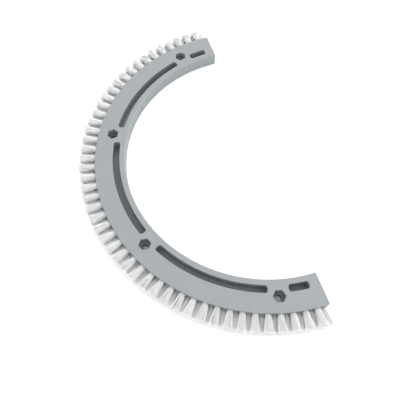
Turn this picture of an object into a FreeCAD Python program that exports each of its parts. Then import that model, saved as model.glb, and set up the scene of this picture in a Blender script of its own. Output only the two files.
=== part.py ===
"""Half-ring tufted brush: a machined plastic block with two staggered rows of radial filament tufts.

Two of these, butted end to end, make a full ring brush. Millimetres. The origin is the ring's
centre on the plane of the back face, so the block lies on Z = 0. +Z is the ring's axis and points
out of the face with the pockets. +Y points to the middle of the arc.
"""

import FreeCAD, Part
import math
import os

import Sketcher

PARTS_FOLDER = "parts"

# name, value, meaning
DIMENSIONS = [
    ("block_outer_radius", 210.0, "block's outer wall, where the tufts leave it"),
    ("block_inner_radius", 172.5, "block's inner wall"),
    ("block_thickness", 18.0, "along the ring's axis"),
    ("edge_chamfer", 0.5, "broken edges of both faces, slots and pockets"),
    ("pitch_angle", 50.1, "bolt to bolt and slot to slot, degrees"),
    ("slot_centre_radius", 183.5, "middle of the slots' width"),
    ("slot_width", 8.7, "radial"),
    ("slot_depth", 14.0, "blind, from the front face"),
    ("slot_corner_radius", 3.0, "corners at the slots' ends"),
    ("long_slot_span", 42.6, "degrees, end to end"),
    ("short_slot_span", 7.4, "degrees, end to end"),
    ("short_slot_offset", 82.4, "short slot's middle from the arc's middle, degrees"),
    ("bolt_circle_radius", 191.6, "bolt holes' centres"),
    ("bolt_hole_diameter", 9.0, "clearance for an M8 bolt"),
    ("nut_across_flats", 13.2, "pocket for an M8 nut or hexagon head"),
    ("nut_pocket_depth", 10.0, "from the front face"),
    ("trim_radius", 230.0, "the trimmed filament ends"),
    ("tuft_pitch", 3.75, "tuft to tuft in one row, degrees: 96 to a full ring"),
    ("back_row_count", 48.0, "tufts in the back row, half a pitch from each end"),
    ("front_row_count", 47.0, "tufts in the front row, in the back row's gaps"),
    ("front_row_height", 12.4, "front row's axis above the back face"),
    ("back_row_height", 5.6, "back row's axis above the back face"),
    ("tuft_hole_diameter", 7.0, "drilled radially"),
    ("tuft_hole_depth", 10.0, "flat-bottomed"),
    ("drill_overrun", 5.0, "drill's reach past the outer wall"),
    ("tuft_root_diameter", 6.9, "tuft inside its hole"),
    ("tuft_tip_diameter", 9.8, "tuft at the trimmed end"),
    ("anchor_length", 7.8, "flat wire across the hole, its ends bitten into the wall"),
    ("anchor_height", 2.0, "along the hole"),
    ("anchor_thickness", 0.5, "flat wire"),
    ("anchor_rise", 1.5, "anchor above the hole's bottom: the folded filaments' room"),
]

doc = FreeCAD.newDocument("half_ring_brush")
sheet = doc.addObject("Spreadsheet::Sheet", "dimensions")


def fill_sheet():
    """Writes the driving dimensions, and names each cell."""
    for row, (name, value, meaning) in enumerate(DIMENSIONS, start=1):
        sheet.set(f"A{row}", name)
        sheet.set(f"B{row}", str(value))
        sheet.set(f"C{row}", meaning)
        sheet.setAlias(f"B{row}", name)
    doc.recompute()


def size(name):
    """A dimension's value, for layout that a sketch can't hold."""
    return float(sheet.get(name))


def bind(obj, **expressions):
    """Ties an object's properties to the sheet. Cell names are given bare."""
    for prop, text in expressions.items():
        obj.setExpression(prop.replace("__", "."), text)


def cell(name):
    return f"dimensions.{name}"


def polar(radius, degrees):
    """Point at an angle counted from the arc's middle, +Y, towards +X."""
    turn = math.radians(90.0 - degrees)
    return FreeCAD.Vector(radius * math.cos(turn), radius * math.sin(turn), 0)


# ---------------------------------------------------------------- block


def face_sketch(body, name, height):
    """An empty sketch parallel to the base plane, at a height bound to the sheet."""
    sketch = body.newObject("Sketcher::SketchObject", name)
    plane = next(f for f in body.Origin.OriginFeatures if f.Role == "XY_Plane")
    sketch.AttachmentSupport = [(plane, "")]
    sketch.MapMode = "FlatFace"
    bind(sketch, AttachmentOffset__Base__z=height)
    return sketch


def arc(centre, radius, start, end):
    """Counter-clockwise arc between two plain angles in radians."""
    circle = Part.Circle(centre, FreeCAD.Vector(0, 0, 1), radius)
    return Part.ArcOfCircle(circle, start, end)


def held_radius(sketch, geometry, name):
    """A radius constraint that follows a cell, or half a diameter."""
    index = sketch.addConstraint(
        Sketcher.Constraint("Radius", geometry, sketch.Geometry[geometry].Radius)
    )
    sketch.setExpression(f"Constraints[{index}]", cell(name))


def draw_half_ring(sketch):
    """Two half circles about the ring's centre, closed by the end faces' lines."""
    centre = FreeCAD.Vector(0, 0, 0)
    outer_radius, inner_radius = size("block_outer_radius"), size("block_inner_radius")
    outer = sketch.addGeometry(arc(centre, outer_radius, 0, math.pi))
    inner = sketch.addGeometry(arc(centre, inner_radius, 0, math.pi))
    right = sketch.addGeometry(
        Part.LineSegment(polar(inner_radius, 90), polar(outer_radius, 90))
    )
    left = sketch.addGeometry(
        Part.LineSegment(polar(outer_radius, -90), polar(inner_radius, -90))
    )
    start, end, middle, axis, origin = 1, 2, 3, -1, 1
    sketch.addConstraint(
        [
            Sketcher.Constraint("Coincident", outer, middle, axis, origin),
            Sketcher.Constraint("Coincident", inner, middle, axis, origin),
            Sketcher.Constraint("Coincident", right, end, outer, start),
            Sketcher.Constraint("Coincident", right, start, inner, start),
            Sketcher.Constraint("Coincident", left, start, outer, end),
            Sketcher.Constraint("Coincident", left, end, inner, end),
            Sketcher.Constraint("PointOnObject", outer, start, axis),
            Sketcher.Constraint("PointOnObject", outer, end, axis),
            Sketcher.Constraint("PointOnObject", inner, start, axis),
            Sketcher.Constraint("PointOnObject", inner, end, axis),
        ]
    )
    held_radius(sketch, outer, "block_outer_radius")
    held_radius(sketch, inner, "block_inner_radius")


def draw_slot(sketch, middle, span):
    """A curved slot about the ring's centre, its four end corners rounded."""
    corner = size("slot_corner_radius")
    half_width = size("slot_width") / 2
    inner_radius = size("slot_centre_radius") - half_width
    outer_radius = size("slot_centre_radius") + half_width
    # a corner's centre stands off the slot's end by its own radius
    inner_turn = math.degrees(math.asin(corner / (inner_radius + corner)))
    outer_turn = math.degrees(math.asin(corner / (outer_radius - corner)))
    low, high = middle - span / 2, middle + span / 2
    centre = FreeCAD.Vector(0, 0, 0)

    def plain(degrees):
        return math.radians(90.0 - degrees)

    sketch.addGeometry(
        arc(centre, outer_radius, plain(high - outer_turn), plain(low + outer_turn))
    )
    sketch.addGeometry(
        arc(centre, inner_radius, plain(high - inner_turn), plain(low + inner_turn))
    )
    for end, sign in ((low, 1), (high, -1)):
        outer_centre = polar(outer_radius - corner, end + sign * outer_turn)
        inner_centre = polar(inner_radius + corner, end + sign * inner_turn)
        wall = plain(end)
        across = wall + sign * math.pi / 2
        outward, inward = plain(end + sign * outer_turn), plain(end + sign * inner_turn)
        touch_outer = outer_centre + FreeCAD.Vector(
            corner * math.cos(across), corner * math.sin(across), 0
        )
        touch_inner = inner_centre + FreeCAD.Vector(
            corner * math.cos(across), corner * math.sin(across), 0
        )
        sketch.addGeometry(Part.LineSegment(touch_outer, touch_inner))
        if sign > 0:
            sketch.addGeometry(arc(outer_centre, corner, outward, across))
            sketch.addGeometry(arc(inner_centre, corner, across, inward + math.pi))
        else:
            sketch.addGeometry(arc(outer_centre, corner, across, outward))
            sketch.addGeometry(arc(inner_centre, corner, inward - math.pi, across))


def bolt_angles():
    """The four bolt holes, symmetrical about the arc's middle."""
    pitch = size("pitch_angle")
    return [pitch * step for step in (-1.5, -0.5, 0.5, 1.5)]


def draw_nut_pockets(sketch):
    """Hexagons with two corners along the ring's circumference."""
    corner_radius = size("nut_across_flats") / math.sqrt(3)
    for angle in bolt_angles():
        centre = polar(size("bolt_circle_radius"), angle)
        corners = []
        for step in range(6):
            turn = math.radians(-angle + 60 * step)
            reach = FreeCAD.Vector(math.cos(turn), math.sin(turn), 0)
            corners.append(centre + reach * corner_radius)
        for step in range(6):
            sketch.addGeometry(Part.LineSegment(corners[step - 1], corners[step]))


def draw_bolt_holes(sketch):
    for angle in bolt_angles():
        centre = polar(size("bolt_circle_radius"), angle)
        radius = size("bolt_hole_diameter") / 2
        sketch.addGeometry(Part.Circle(centre, FreeCAD.Vector(0, 0, 1), radius))


def cut_from_front(body, name, draw, depth=None):
    """Pockets a sketch on the front face, to a depth cell or right through."""
    sketch = face_sketch(body, name + "_outline", cell("block_thickness"))
    draw(sketch)
    doc.recompute()
    before = body.Shape.Volume
    pocket = body.newObject("PartDesign::Pocket", name)
    pocket.Profile = sketch
    if depth:
        bind(pocket, Length=cell(depth))
    else:
        pocket.Type = "ThroughAll"
    doc.recompute()
    if body.Shape.Volume >= before - 1:
        raise RuntimeError(f"{name} removed nothing")
    return pocket


def chamfer_face_edges(body, base, height, name):
    """Breaks every edge that lies in a face at that height."""
    edges = []
    for number, edge in enumerate(base.Shape.Edges, start=1):
        box = edge.BoundBox
        if abs(box.ZMin - height) < 1e-4 and abs(box.ZMax - height) < 1e-4:
            edges.append(f"Edge{number}")
    chamfer = body.newObject("PartDesign::Chamfer", name)
    chamfer.Base = (base, edges)
    bind(chamfer, Size=cell("edge_chamfer"))
    doc.recompute()
    return chamfer


def make_milled_block():
    """The block before its tuft holes are drilled."""
    body = doc.addObject("PartDesign::Body", "milled_block")
    outline = face_sketch(body, "half_ring_outline", "0 mm")
    draw_half_ring(outline)
    pad = body.newObject("PartDesign::Pad", "half_ring")
    pad.Profile = outline
    bind(pad, Length=cell("block_thickness"))
    doc.recompute()

    def draw_slots(sketch):
        for step in (-1, 0, 1):
            draw_slot(sketch, step * size("pitch_angle"), size("long_slot_span"))
        for side in (-1, 1):
            draw_slot(sketch, side * size("short_slot_offset"), size("short_slot_span"))

    cut_from_front(body, "slots", draw_slots, "slot_depth")
    cut_from_front(body, "nut_pockets", draw_nut_pockets, "nut_pocket_depth")
    last = cut_from_front(body, "bolt_holes", draw_bolt_holes)
    last = chamfer_face_edges(body, last, size("block_thickness"), "front_chamfer")
    chamfer_face_edges(body, last, 0.0, "back_chamfer")
    return body


# ---------------------------------------------------------------- tufts


def tuft_stations(row):
    """Angles of one row's tufts, symmetrical about the arc's middle."""
    count = int(size(f"{row}_row_count"))
    return [size("tuft_pitch") * (i - (count - 1) / 2) for i in range(count)]


def make_drill():
    """The bit that cuts one tuft hole, along +X, a little longer than the hole."""
    drill = doc.addObject("Part::Cylinder", "drill")
    bind(
        drill,
        Radius=f"{cell('tuft_hole_diameter')} / 2",
        Height=f"{cell('tuft_hole_depth')} + {cell('drill_overrun')}",
        Placement__Base__x=f"{cell('block_outer_radius')} - {cell('tuft_hole_depth')}",
    )
    drill.Placement.Rotation = FreeCAD.Rotation(FreeCAD.Vector(0, 1, 0), 90)
    return drill


def make_anchor():
    """Flat wire that holds a folded tuft at the bottom of its hole."""
    anchor = doc.addObject("Part::Box", "anchor")
    bind(
        anchor,
        Length=cell("anchor_height"),
        Width=cell("anchor_thickness"),
        Height=cell("anchor_length"),
        Placement__Base__x=(
            f"{cell('block_outer_radius')} - {cell('tuft_hole_depth')}"
            f" + {cell('anchor_rise')}"
        ),
        Placement__Base__y=f"-{cell('anchor_thickness')} / 2",
        Placement__Base__z=f"-{cell('anchor_length')} / 2",
    )
    return anchor


def make_tuft(anchor):
    """One tuft along +X: straight in its hole, flaring to its trimmed end."""
    root = doc.addObject("Part::Cylinder", "tuft_root")
    bind(
        root,
        Radius=f"{cell('tuft_root_diameter')} / 2",
        Height=cell("tuft_hole_depth"),
        Placement__Base__x=f"{cell('block_outer_radius')} - {cell('tuft_hole_depth')}",
    )
    flare = doc.addObject("Part::Cone", "tuft_flare")
    bind(
        flare,
        Radius1=f"{cell('tuft_root_diameter')} / 2",
        Radius2=f"{cell('tuft_tip_diameter')} / 2",
        Height=f"{cell('trim_radius')} - {cell('block_outer_radius')}",
        Placement__Base__x=cell("block_outer_radius"),
    )
    for piece in (root, flare):
        piece.Placement.Rotation = FreeCAD.Rotation(FreeCAD.Vector(0, 1, 0), 90)
    bundle = doc.addObject("Part::Fuse", "tuft_bundle")
    bundle.Base, bundle.Tool = root, flare
    tuft = doc.addObject("Part::Cut", "tuft")
    tuft.Base, tuft.Tool = bundle, anchor
    return tuft


def row_links(master, row, label):
    """A link to a master piece at each station of a row."""
    links = []
    for number, angle in enumerate(tuft_stations(row), start=1):
        link = doc.addObject("App::Link", f"{label}_{row}_{number:02d}")
        link.LinkedObject = master
        link.LinkTransform = True
        turn = FreeCAD.Rotation(FreeCAD.Vector(0, 0, 1), 90.0 - angle)
        link.Placement = FreeCAD.Placement(FreeCAD.Vector(0, 0, 0), turn)
        bind(link, Placement__Base__z=cell(f"{row}_row_height"))
        links.append(link)
    return links


def group(label, members):
    """Separate solids that share one node."""
    compound = doc.addObject("Part::Compound", label)
    compound.Label = label
    compound.Links = members
    return compound


def make_block(milled, drill, anchor):
    """The milled block with both rows of tuft holes drilled and the anchors' bites in their walls."""
    cutter = doc.addObject("Part::Fuse", "hole_cutter")
    cutter.Base, cutter.Tool = drill, anchor
    holes = doc.addObject("Part::Compound", "tuft_holes")
    holes.Links = row_links(cutter, "front", "hole") + row_links(cutter, "back", "hole")
    block = doc.addObject("Part::Cut", "block")
    block.Label = "block"
    block.Base, block.Tool = milled, holes
    doc.recompute()
    if block.Shape.Volume >= milled.Shape.Volume - 1:
        raise RuntimeError("the tuft holes removed nothing")
    return block


def make_sub_parts():
    """Every node: the block, a node of tufts per station, and each row's anchors."""
    fill_sheet()
    milled = make_milled_block()
    drill = make_drill()
    anchor = make_anchor()
    tuft = make_tuft(anchor)
    nodes = [make_block(milled, drill, anchor)]
    front = row_links(tuft, "front", "tuft")
    back = row_links(tuft, "back", "tuft")
    for station, link in enumerate(back):
        nodes.append(group(f"tufts_{station + 1:02d}", [link] + front[station : station + 1]))
    for row in ("front", "back"):
        nodes.append(group(f"anchors_{row}_row", row_links(anchor, row, "anchor")))
    doc.recompute()
    return nodes


def check(nodes):
    """Stops unless every object computed and every node is valid, closed solids."""
    for obj in doc.Objects:
        if "Invalid" in obj.State or "Error" in obj.State:
            raise RuntimeError(f"{obj.Name} failed: {obj.State}")
    for node in nodes:
        shape = node.Shape
        if shape.isNull() or not shape.isValid() or not shape.Solids:
            raise RuntimeError(f"{node.Label} has no valid solid")


def main():
    nodes = make_sub_parts()
    check(nodes)
    os.makedirs(PARTS_FOLDER, exist_ok=True)
    for node in nodes:
        node.Shape.exportStep(os.path.join(PARTS_FOLDER, node.Label + ".step"))
    pieces = sum(len(node.Shape.Solids) for node in nodes)
    print(f"{len(nodes)} nodes, {pieces} solids")


main()
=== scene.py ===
"""Looks for the half-ring pool brush: grey plastic block, tufts of separate filaments, studio, camera.

Metres, in the CAD frame: the ring's centre is the origin, the block lies on Z = 0, +Z is the ring's
axis and +Y points to the middle of the arc.
"""

import math
import random

import bmesh
import bpy
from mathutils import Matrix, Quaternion, Vector


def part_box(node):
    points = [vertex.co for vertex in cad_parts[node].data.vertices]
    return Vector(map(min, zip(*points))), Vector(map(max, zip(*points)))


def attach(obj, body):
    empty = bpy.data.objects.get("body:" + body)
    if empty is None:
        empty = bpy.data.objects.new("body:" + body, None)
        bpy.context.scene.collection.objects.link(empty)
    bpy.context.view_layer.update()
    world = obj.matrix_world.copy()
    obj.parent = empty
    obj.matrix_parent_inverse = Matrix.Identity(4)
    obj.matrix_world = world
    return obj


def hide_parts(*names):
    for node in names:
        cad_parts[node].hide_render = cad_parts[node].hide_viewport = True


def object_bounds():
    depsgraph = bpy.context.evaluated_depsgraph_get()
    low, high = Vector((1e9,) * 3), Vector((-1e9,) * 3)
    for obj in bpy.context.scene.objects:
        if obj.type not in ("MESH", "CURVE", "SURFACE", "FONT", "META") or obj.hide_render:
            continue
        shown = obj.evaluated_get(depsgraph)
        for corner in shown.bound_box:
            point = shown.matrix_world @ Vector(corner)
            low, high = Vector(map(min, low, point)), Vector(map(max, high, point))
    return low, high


MM = 0.001

# the camera that sees the object as the photograph does
CAMERA_PLACE = Vector((-0.2765, 0.1746, 0.4941))
CAMERA_TARGET = Vector((-0.0466, 0.0952, 0.0180))
CAMERA_ROLL = math.radians(1.015)
CAMERA_LENS_MM = 39.73
CAMERA_SENSOR_MM = 36.0

# studio
ROOM_STRENGTH = 1.5
KEY_PLACE = (1.2, -1.9, 2.7)
KEY_TARGET = (0.0, 0.1, 0.0)
KEY_SIDE = 1.8
KEY_WATTS = 60.0
FLOOR_HALF = 6.0
FLOOR_GAP = 0.2 * MM

# colours, linear
BLOCK_COLOUR = (0.214, 0.230, 0.238)
FILAMENT_COLOUR = (0.98, 0.99, 0.995)
WIRE_COLOUR = (0.62, 0.62, 0.64)
PAPER_COLOUR = (0.93, 0.93, 0.93)

# filaments
FILAMENTS_PER_TUFT = 170
FILAMENT_RADIUS = 0.25 * MM
FILAMENT_SIDES = 5
ROOT_RADIUS = 3.25 * MM
ROOT_DEPTH = 6.0 * MM
TIP_HALF_ALONG_FRONT = 5.4 * MM
TIP_HALF_ALONG_BACK = 6.8 * MM
TIP_HALF_ACROSS = 4.6 * MM
TIP_SQUARENESS = 0.6  # 0 leaves a tuft's end round, 1 makes it square
FLARE_POWER_FRONT = 1.0  # 1 widens evenly, less widens sooner
FLARE_POWER_BACK = 0.6
FLARE_RINGS = 4
CLUMPS = 8
CLUMP_PULL = 0.10  # share of the way to the nearest clump's centre
TRIM_JITTER = 0.09 * MM
TIP_JITTER = 0.16 * MM
BEND_JITTER = 0.06 * MM
GOLDEN_ANGLE = math.pi * (3 - math.sqrt(5))
SEED = 2047

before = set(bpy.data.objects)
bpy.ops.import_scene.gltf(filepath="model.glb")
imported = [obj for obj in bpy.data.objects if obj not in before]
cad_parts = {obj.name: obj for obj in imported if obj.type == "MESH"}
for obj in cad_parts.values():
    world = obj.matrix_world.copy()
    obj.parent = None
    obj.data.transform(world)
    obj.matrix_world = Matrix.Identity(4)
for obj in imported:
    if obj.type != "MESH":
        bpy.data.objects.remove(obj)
CAD_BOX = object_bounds()
BLOCK_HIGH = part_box("block")[1]
OUTER_RADIUS = BLOCK_HIGH.x
TRIM_RADIUS = CAD_BOX[1][0]

# share of a surface's normal along the ring's axis: a wall fades out, and a flat face in, over these
WALL_FACING = (0.3, 0.5)
FACE_FACING = (0.9, 0.98)

# the ring that holds every slot and pocket, and where its painted shade fades in
RECESS_INNER = 178.5 * MM
RECESS_OUTER = 199.0 * MM
RECESS_BLUR = 0.2 * MM
RECESS_STARTS = 0.4 * MM  # below the front face
RECESS_FULL = 1.5 * MM
RECESS_OFF_BACK = (0.2 * MM, 0.8 * MM)
# painted shade: the share by which the slots, pockets and bolt holes are darkened
RECESS_PAINTED_SHADE = 0.12

# the block's surface: noise scales per metre, and how much each pattern lightens
MOTTLE_SCALE = 55.0
GRAIN_SCALE = 2600.0
STREAK_SCALE_ALONG = 1400.0
STREAK_SCALE_UP = 60.0
LATHE_SCALE_OUT = 3200.0
LATHE_SCALE_ALONG = 22.0
NOISE_BAND = (0.3, 0.7)  # the range of a noise's values that is stretched over a shade's range
MOTTLE_SHADE = (0.975, 1.02)
GRAIN_BAND = (0.35, 0.65)
GRAIN_SHADE = (0.985, 1.012)
# the walls' sawn streaks, shifted lighter overall as painted light
WALL_STREAKS_AND_PAINTED_LIGHT = (-0.08, 0.24)
FACE_SHADE = (-0.012, 0.012)
# painted highlight: how much the chamfered edges are lightened
EDGE_PAINTED_HIGHLIGHT = 0.25
ROUGHNESS_BAND = (0.25, 0.75)
BLOCK_ROUGHNESS = (0.40, 0.50)
WALL_ROUGHNESS = 0.08

# a filament's tones: painted shade in its hole and at its cut end, its own tone from one to the next,
# painted shade on the upper side, scuffed
# painted shade near the block, where the filaments leave their holes
HOLE_PAINTED_SHADE = 0.85
HOLE_FADE = (OUTER_RADIUS - 1.0 * MM, OUTER_RADIUS + 1.5 * MM)
# painted shade on the cut ends, which face away from the light
CUT_PAINTED_SHADE = 0.66
CUT_FADE = (TRIM_RADIUS - 0.7 * MM, TRIM_RADIUS - 0.2 * MM)
OWN_TONE = (0.96, 1.0)
# painted shade: the upper side is darkened against the light that falls on it
UPPER_PAINTED_SHADE = 0.9
UPPER_FADE = (0.5 * BLOCK_HIGH.z, 0.85 * BLOCK_HIGH.z)
SCUFF_SCALE = 900.0
SCUFF_TONE = (0.985, 1.0)
FILAMENT_ROUGHNESS = (0.30, 0.48)
LIGHT_REACH = 3.0 * MM  # how far light travels inside the nylon

# noise scales of the wire, across its length, and of the paper
WIRE_SCALE = 5000.0
PAPER_SCALE = 3.0


# ---------------------------------------------------------------- material helpers


class Graph:
    """A material's node tree, with short calls for the nodes used here."""

    def __init__(self, name):
        self.material = bpy.data.materials.new(name)
        self.material.use_nodes = True
        self.tree = self.material.node_tree
        self.shader = self.tree.nodes["Principled BSDF"]

    def add(self, kind, inputs=None, **settings):
        """A node with its settings, and each input given a value or joined to a socket."""
        node = self.tree.nodes.new(kind)
        for key, value in settings.items():
            setattr(node, key, value)
        for key, value in (inputs or {}).items():
            self.join(node.inputs[key], value)
        return node

    def join(self, socket, value):
        if isinstance(value, bpy.types.NodeSocket):
            self.tree.links.new(value, socket)
        else:
            socket.default_value = value

    def math(self, operation, *values):
        return self.add("ShaderNodeMath", dict(enumerate(values)), operation=operation).outputs[0]

    def product(self, first, *others):
        for value in others:
            first = self.math("MULTIPLY", first, value)
        return first

    def total(self, first, *others):
        for value in others:
            first = self.math("ADD", first, value)
        return first

    def spread(self, value, low, high, to_low=0.0, to_high=1.0):
        """Maps a range smoothly onto another, clamped."""
        inputs = {0: value, 1: low, 2: high, 3: to_low, 4: to_high}
        return self.add("ShaderNodeMapRange", inputs, interpolation_type="SMOOTHSTEP").outputs[0]

    def noise(self, vector, scale, detail=2.0):
        inputs = {"Vector": vector, "Scale": scale, "Detail": detail}
        return self.add("ShaderNodeTexNoise", inputs).outputs["Fac"]

    def place(self):
        """The shaded point, in the object's own axes."""
        return self.add("ShaderNodeTexCoord").outputs["Object"]

    def split(self, vector):
        return self.add("ShaderNodeSeparateXYZ", {0: vector}).outputs

    def vector(self, x, y, z):
        return self.add("ShaderNodeCombineXYZ", {0: x, 1: y, 2: z}).outputs[0]

    def radius(self, x, y):
        """Distance from the ring's axis."""
        return self.math("SQRT", self.total(self.product(x, x), self.product(y, y)))

    def tint(self, colour, factor):
        """A colour multiplied by a factor."""
        inputs = {0: colour, "Scale": factor}
        return self.add("ShaderNodeVectorMath", inputs, operation="SCALE").outputs[0]

    def bump(self, height, strength, distance, normal=None):
        inputs = {"Height": height, "Strength": strength, "Distance": distance}
        if normal:
            inputs["Normal"] = normal
        return self.add("ShaderNodeBump", inputs).outputs[0]

    def finish(self, **inputs):
        for key, value in inputs.items():
            self.join(self.shader.inputs[key.replace("_", " ")], value)
        return self.material


def recess_painted_shade(g, radius, z):
    """Painted shade: 1 on the block's outside, less in its slots, pockets and bolt holes."""
    past_inner = g.spread(radius, RECESS_INNER - RECESS_BLUR, RECESS_INNER + RECESS_BLUR)
    before_outer = g.spread(radius, RECESS_OUTER - RECESS_BLUR, RECESS_OUTER + RECESS_BLUR, 1.0, 0.0)
    sunk = g.spread(z, BLOCK_HIGH.z - RECESS_FULL, BLOCK_HIGH.z - RECESS_STARTS, 1.0, 0.0)
    off_back = g.spread(z, *RECESS_OFF_BACK)
    in_recess = g.product(past_inner, before_outer, sunk, off_back)
    return g.math("SUBTRACT", 1.0, g.product(in_recess, RECESS_PAINTED_SHADE))


def plastic_material():
    """Satin bluish grey plastic: milled flat faces, sawn streaks on curved walls that are also
    lightened as painted light, edges lightened as a painted highlight, and recesses darkened as
    painted shade.
    """
    g = Graph("grey_plastic")
    place = g.place()
    x, y, z = g.split(place)
    radius = g.radius(x, y)
    along = g.product(g.math("ARCTAN2", y, x), OUTER_RADIUS)

    normal = g.add("ShaderNodeNewGeometry").outputs["Normal"]
    facing = g.math("ABSOLUTE", g.split(normal)[2])
    is_wall = g.spread(facing, *WALL_FACING, 1.0, 0.0)
    is_face = g.spread(facing, *FACE_FACING)
    is_edge = g.math("SUBTRACT", g.math("SUBTRACT", 1.0, is_wall), is_face)

    mottle = g.noise(place, MOTTLE_SCALE, detail=4.0)
    grain = g.noise(place, GRAIN_SCALE)
    streak_place = g.vector(
        g.product(along, STREAK_SCALE_ALONG), 0.0, g.product(z, STREAK_SCALE_UP)
    )
    streaks = g.noise(streak_place, 1.0, detail=4.0)
    lathe_place = g.vector(
        g.product(radius, LATHE_SCALE_OUT), g.product(along, LATHE_SCALE_ALONG), 0.0
    )
    lathe = g.noise(lathe_place, 1.0, detail=3.0)

    shade = g.product(
        g.spread(mottle, *NOISE_BAND, *MOTTLE_SHADE), g.spread(grain, *GRAIN_BAND, *GRAIN_SHADE)
    )
    extra = g.total(
        g.product(is_wall, g.spread(streaks, *NOISE_BAND, *WALL_STREAKS_AND_PAINTED_LIGHT)),
        g.product(is_face, g.spread(lathe, *NOISE_BAND, *FACE_SHADE)),
        g.product(is_edge, EDGE_PAINTED_HIGHLIGHT),
    )
    # painted light: a highlight on the edges, lighter walls and shade in the recesses
    factor = g.product(g.total(shade, extra), recess_painted_shade(g, radius, z))

    height = g.total(g.product(is_wall, streaks), g.product(is_face, lathe))
    grain_relief = g.bump(grain, strength=0.25, distance=0.02 * MM)
    relief = g.bump(height, strength=0.18, distance=0.05 * MM, normal=grain_relief)
    rough = g.total(
        g.spread(mottle, *ROUGHNESS_BAND, *BLOCK_ROUGHNESS), g.product(is_wall, WALL_ROUGHNESS)
    )
    return g.finish(
        Base_Color=g.tint(BLOCK_COLOUR, factor), Roughness=rough, Normal=relief, Specular_IOR_Level=0.3
    )


def filament_material():
    """White nylon, each filament in a slightly different tone.

    It is darker near the hole, at the cut end and on the front row's upper side, all as painted shade.
    """
    g = Graph("white_filament")
    place = g.place()
    own = g.add("ShaderNodeNewGeometry").outputs["Random Per Island"]
    x, y, z = g.split(place)
    radius = g.radius(x, y)
    scuff = g.noise(place, SCUFF_SCALE, detail=3.0)
    # painted shade near the hole, at the cut end and on the upper side, with each filament's own tone
    # and scuffs
    tone = g.product(
        g.spread(own, 0.0, 1.0, *OWN_TONE),
        g.spread(radius, *HOLE_FADE, HOLE_PAINTED_SHADE, 1.0),
        g.spread(radius, *CUT_FADE, 1.0, CUT_PAINTED_SHADE),
        g.spread(z, *UPPER_FADE, 1.0, UPPER_PAINTED_SHADE),
        g.spread(scuff, *NOISE_BAND, *SCUFF_TONE),
    )
    g.join(g.shader.inputs["Subsurface Radius"], (1.0, 1.0, 1.0))
    return g.finish(
        Base_Color=g.tint(FILAMENT_COLOUR, tone),
        Roughness=g.spread(own, 0.0, 1.0, *FILAMENT_ROUGHNESS),
        Normal=g.bump(scuff, strength=0.15, distance=0.02 * MM),
        Specular_IOR_Level=0.4,
        Subsurface_Weight=0.9,
        Subsurface_Scale=LIGHT_REACH,
    )


def steel_material():
    """Drawn flat wire."""
    g = Graph("anchor_wire_steel")
    x, y, z = g.split(g.place())
    drawn_place = g.vector(g.product(x, WIRE_SCALE), g.product(y, WIRE_SCALE), z)
    drawn = g.noise(drawn_place, 1.0, detail=3.0)
    colour = g.tint(WIRE_COLOUR, g.spread(drawn, *NOISE_BAND, 0.88, 1.0))
    rough = g.spread(drawn, *NOISE_BAND, 0.28, 0.42)
    return g.finish(Base_Color=colour, Roughness=rough, Metallic=1.0)


def floor_material():
    """Pale matt paper."""
    g = Graph("studio_paper")
    colour = g.tint(PAPER_COLOUR, g.spread(g.noise(g.place(), PAPER_SCALE), *NOISE_BAND, 0.995, 1.0))
    return g.finish(Base_Color=colour, Roughness=0.9, Specular_IOR_Level=0.1)


def dress(obj, material):
    """Gives every face of an object one material."""
    obj.data.materials.clear()
    obj.data.materials.append(material)


# ---------------------------------------------------------------- filaments


def tufts_in(node):
    """(angle, height, trim radius) of each tuft among a CAD node's solids, read from their meshes."""
    bm = bmesh.new()
    bm.from_mesh(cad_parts[node].data)
    bmesh.ops.remove_doubles(bm, verts=bm.verts, dist=0.001 * MM)
    waiting = set(bm.verts)
    found = []
    while waiting:
        solid, reached = [], [waiting.pop()]
        while reached:
            vert = reached.pop()
            solid.append(vert.co.copy())
            near = {e.other_vert(vert) for e in vert.link_edges} & waiting
            waiting -= near
            reached.extend(near)
        angles = [math.atan2(p.y, p.x) for p in solid]
        heights = [p.z for p in solid]
        angle = (min(angles) + max(angles)) / 2
        trim = max(p.x * math.cos(angle) + p.y * math.sin(angle) for p in solid)
        found.append((angle, (min(heights) + max(heights)) / 2, trim))
    bm.free()
    return sorted(found)


def disc_points(count, turn):
    """Evenly spread points in a unit disc."""
    for i in range(count):
        r = math.sqrt((i + 0.5) / count)
        a = turn + i * GOLDEN_ANGLE
        yield r * math.cos(a), r * math.sin(a)


def squared(spot):
    """A unit disc's point pushed out towards the square round it."""
    reach = math.hypot(*spot)
    towards = max(abs(spot[0]), abs(spot[1])) / reach
    return [s * towards**-TIP_SQUARENESS for s in spot]


def filament_path(rng, spot, clumps, trim, tip_half_along, flare_power):
    """One filament's line, from in the hole to its cut end.

    Its points are (reach, along, across) in the tuft's own frame.
    """
    near = min(clumps, key=lambda c: (c[0] - spot[0]) ** 2 + (c[1] - spot[1]) ** 2)
    pulled = squared([s + (c - s) * CLUMP_PULL for s, c in zip(spot, near)])
    root = (spot[0] * ROOT_RADIUS, spot[1] * ROOT_RADIUS)
    tip = (
        pulled[0] * tip_half_along + rng.gauss(0, TIP_JITTER),
        pulled[1] * TIP_HALF_ACROSS + rng.gauss(0, TIP_JITTER),
    )
    bend = (rng.gauss(0, BEND_JITTER), rng.gauss(0, BEND_JITTER))
    end = math.sqrt(trim**2 - tip[0] ** 2) + rng.uniform(-1, 1) * TRIM_JITTER
    path = [(OUTER_RADIUS - ROOT_DEPTH, *root), (OUTER_RADIUS, *root)]
    for ring in range(1, FLARE_RINGS + 1):
        t = ring / FLARE_RINGS
        sway = math.sin(math.pi * t)
        offset = [r + (e - r) * t**flare_power + b * sway for r, e, b in zip(root, tip, bend)]
        path.append((OUTER_RADIUS + (end - OUTER_RADIUS) * t, *offset))
    return path


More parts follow.
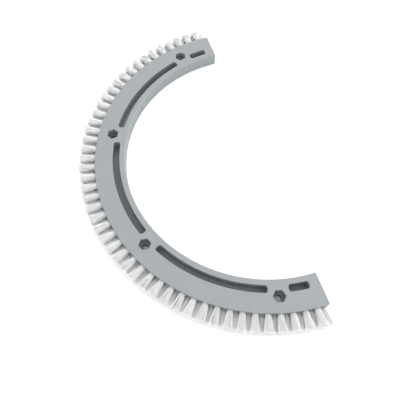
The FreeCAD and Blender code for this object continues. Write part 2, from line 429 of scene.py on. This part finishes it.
def add_tube(path, verts, faces):
    """A closed tube of even radius along a path that runs mostly outwards."""
    first = len(verts)
    for reach, along, across in path:
        for side in range(FILAMENT_SIDES):
            a = 2 * math.pi * side / FILAMENT_SIDES
            step = (FILAMENT_RADIUS * math.cos(a), FILAMENT_RADIUS * math.sin(a))
            verts.append((reach, along + step[0], across + step[1]))
    for ring in range(len(path) - 1):
        low = first + ring * FILAMENT_SIDES
        high = low + FILAMENT_SIDES
        for side in range(FILAMENT_SIDES):
            following = (side + 1) % FILAMENT_SIDES
            faces.append((low + side, low + following, high + following, high + side))
    last = len(verts) - FILAMENT_SIDES
    faces.append(tuple(first + side for side in reversed(range(FILAMENT_SIDES))))
    faces.append(tuple(last + side for side in range(FILAMENT_SIDES)))


def make_tuft(rng, angle, height, trim, verts, faces):
    """Adds one tuft's filaments, turned to the tuft's angle and raised to its row."""
    if height > BLOCK_HIGH.z / 2:
        flare = (TIP_HALF_ALONG_FRONT, FLARE_POWER_FRONT)
    else:
        flare = (TIP_HALF_ALONG_BACK, FLARE_POWER_BACK)
    clumps = list(disc_points(CLUMPS, rng.uniform(0, math.tau)))
    tuft_verts, tuft_faces = [], []
    for spot in disc_points(FILAMENTS_PER_TUFT, rng.uniform(0, math.tau)):
        add_tube(filament_path(rng, spot, clumps, trim, *flare), tuft_verts, tuft_faces)
    first = len(verts)
    faces.extend(tuple(first + i for i in face) for face in tuft_faces)
    c, s = math.cos(angle), math.sin(angle)
    verts.extend((u * c - v * s, u * s + v * c, height + w) for u, v, w in tuft_verts)


def make_filaments(material):
    """One piece for each CAD tufts node, in its place. The filaments' cut ends stay flat."""
    rng = random.Random(SEED)
    for node in sorted(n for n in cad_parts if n.startswith("tufts_")):
        verts, faces = [], []
        for angle, height, trim in tufts_in(node):
            make_tuft(rng, angle, height, trim, verts, faces)
        mesh = bpy.data.meshes.new(node.replace("tufts", "filaments"))
        mesh.from_pydata(verts, [], faces)
        mesh.update()
        is_side = [len(face.vertices) != FILAMENT_SIDES for face in mesh.polygons]
        mesh.polygons.foreach_set("use_smooth", is_side)
        piece = bpy.data.objects.new(mesh.name, mesh)
        bpy.context.scene.collection.objects.link(piece)
        dress(piece, material)
        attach(piece, "root")
        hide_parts(node)


# ---------------------------------------------------------------- studio


def make_floor():
    """A wide pale sheet just under the block."""
    half = FLOOR_HALF
    mesh = bpy.data.meshes.new("studio_floor")
    corners = [(-half, -half, 0), (half, -half, 0), (half, half, 0), (-half, half, 0)]
    mesh.from_pydata(corners, [], [(0, 1, 2, 3)])
    floor = bpy.data.objects.new("studio_floor", mesh)
    floor.location.z = -FLOOR_GAP
    bpy.context.scene.collection.objects.link(floor)
    dress(floor, floor_material())


def add_softbox(name, place, target, side, watts):
    """A square area light aimed at a point."""
    light = bpy.data.lights.new(name, "AREA")
    light.size = side
    light.energy = watts
    lamp = bpy.data.objects.new(name, light)
    lamp.location = place
    lamp.rotation_mode = "QUATERNION"
    lamp.rotation_quaternion = (Vector(target) - Vector(place)).to_track_quat("-Z", "Y")
    bpy.context.scene.collection.objects.link(lamp)


def make_lights():
    """An even white room and one large soft key from beyond the open side of the arc."""
    world = bpy.data.worlds.new("white_room")
    world.use_nodes = True
    background = world.node_tree.nodes["Background"]
    background.inputs["Color"].default_value = (1.0, 1.0, 1.0, 1.0)
    background.inputs["Strength"].default_value = ROOM_STRENGTH
    bpy.context.scene.world = world
    add_softbox("key", KEY_PLACE, KEY_TARGET, KEY_SIDE, KEY_WATTS)


def make_camera():
    camera = bpy.data.objects.new("camera", bpy.data.cameras.new("camera"))
    camera.data.lens = CAMERA_LENS_MM
    camera.data.sensor_width = CAMERA_SENSOR_MM
    camera.location = CAMERA_PLACE
    camera.rotation_mode = "QUATERNION"
    aim = (CAMERA_TARGET - CAMERA_PLACE).to_track_quat("-Z", "Y")
    camera.rotation_quaternion = aim @ Quaternion((0, 0, 1), CAMERA_ROLL)
    bpy.context.scene.collection.objects.link(camera)
    bpy.context.scene.camera = camera


make_camera()
make_lights()
make_floor()
dress(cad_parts["block"], plastic_material())
steel = steel_material()
for row in ("front", "back"):
    dress(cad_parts[f"anchors_{row}_row"], steel)
make_filaments(filament_material())
bpy.context.scene.view_settings.view_transform = "Standard"
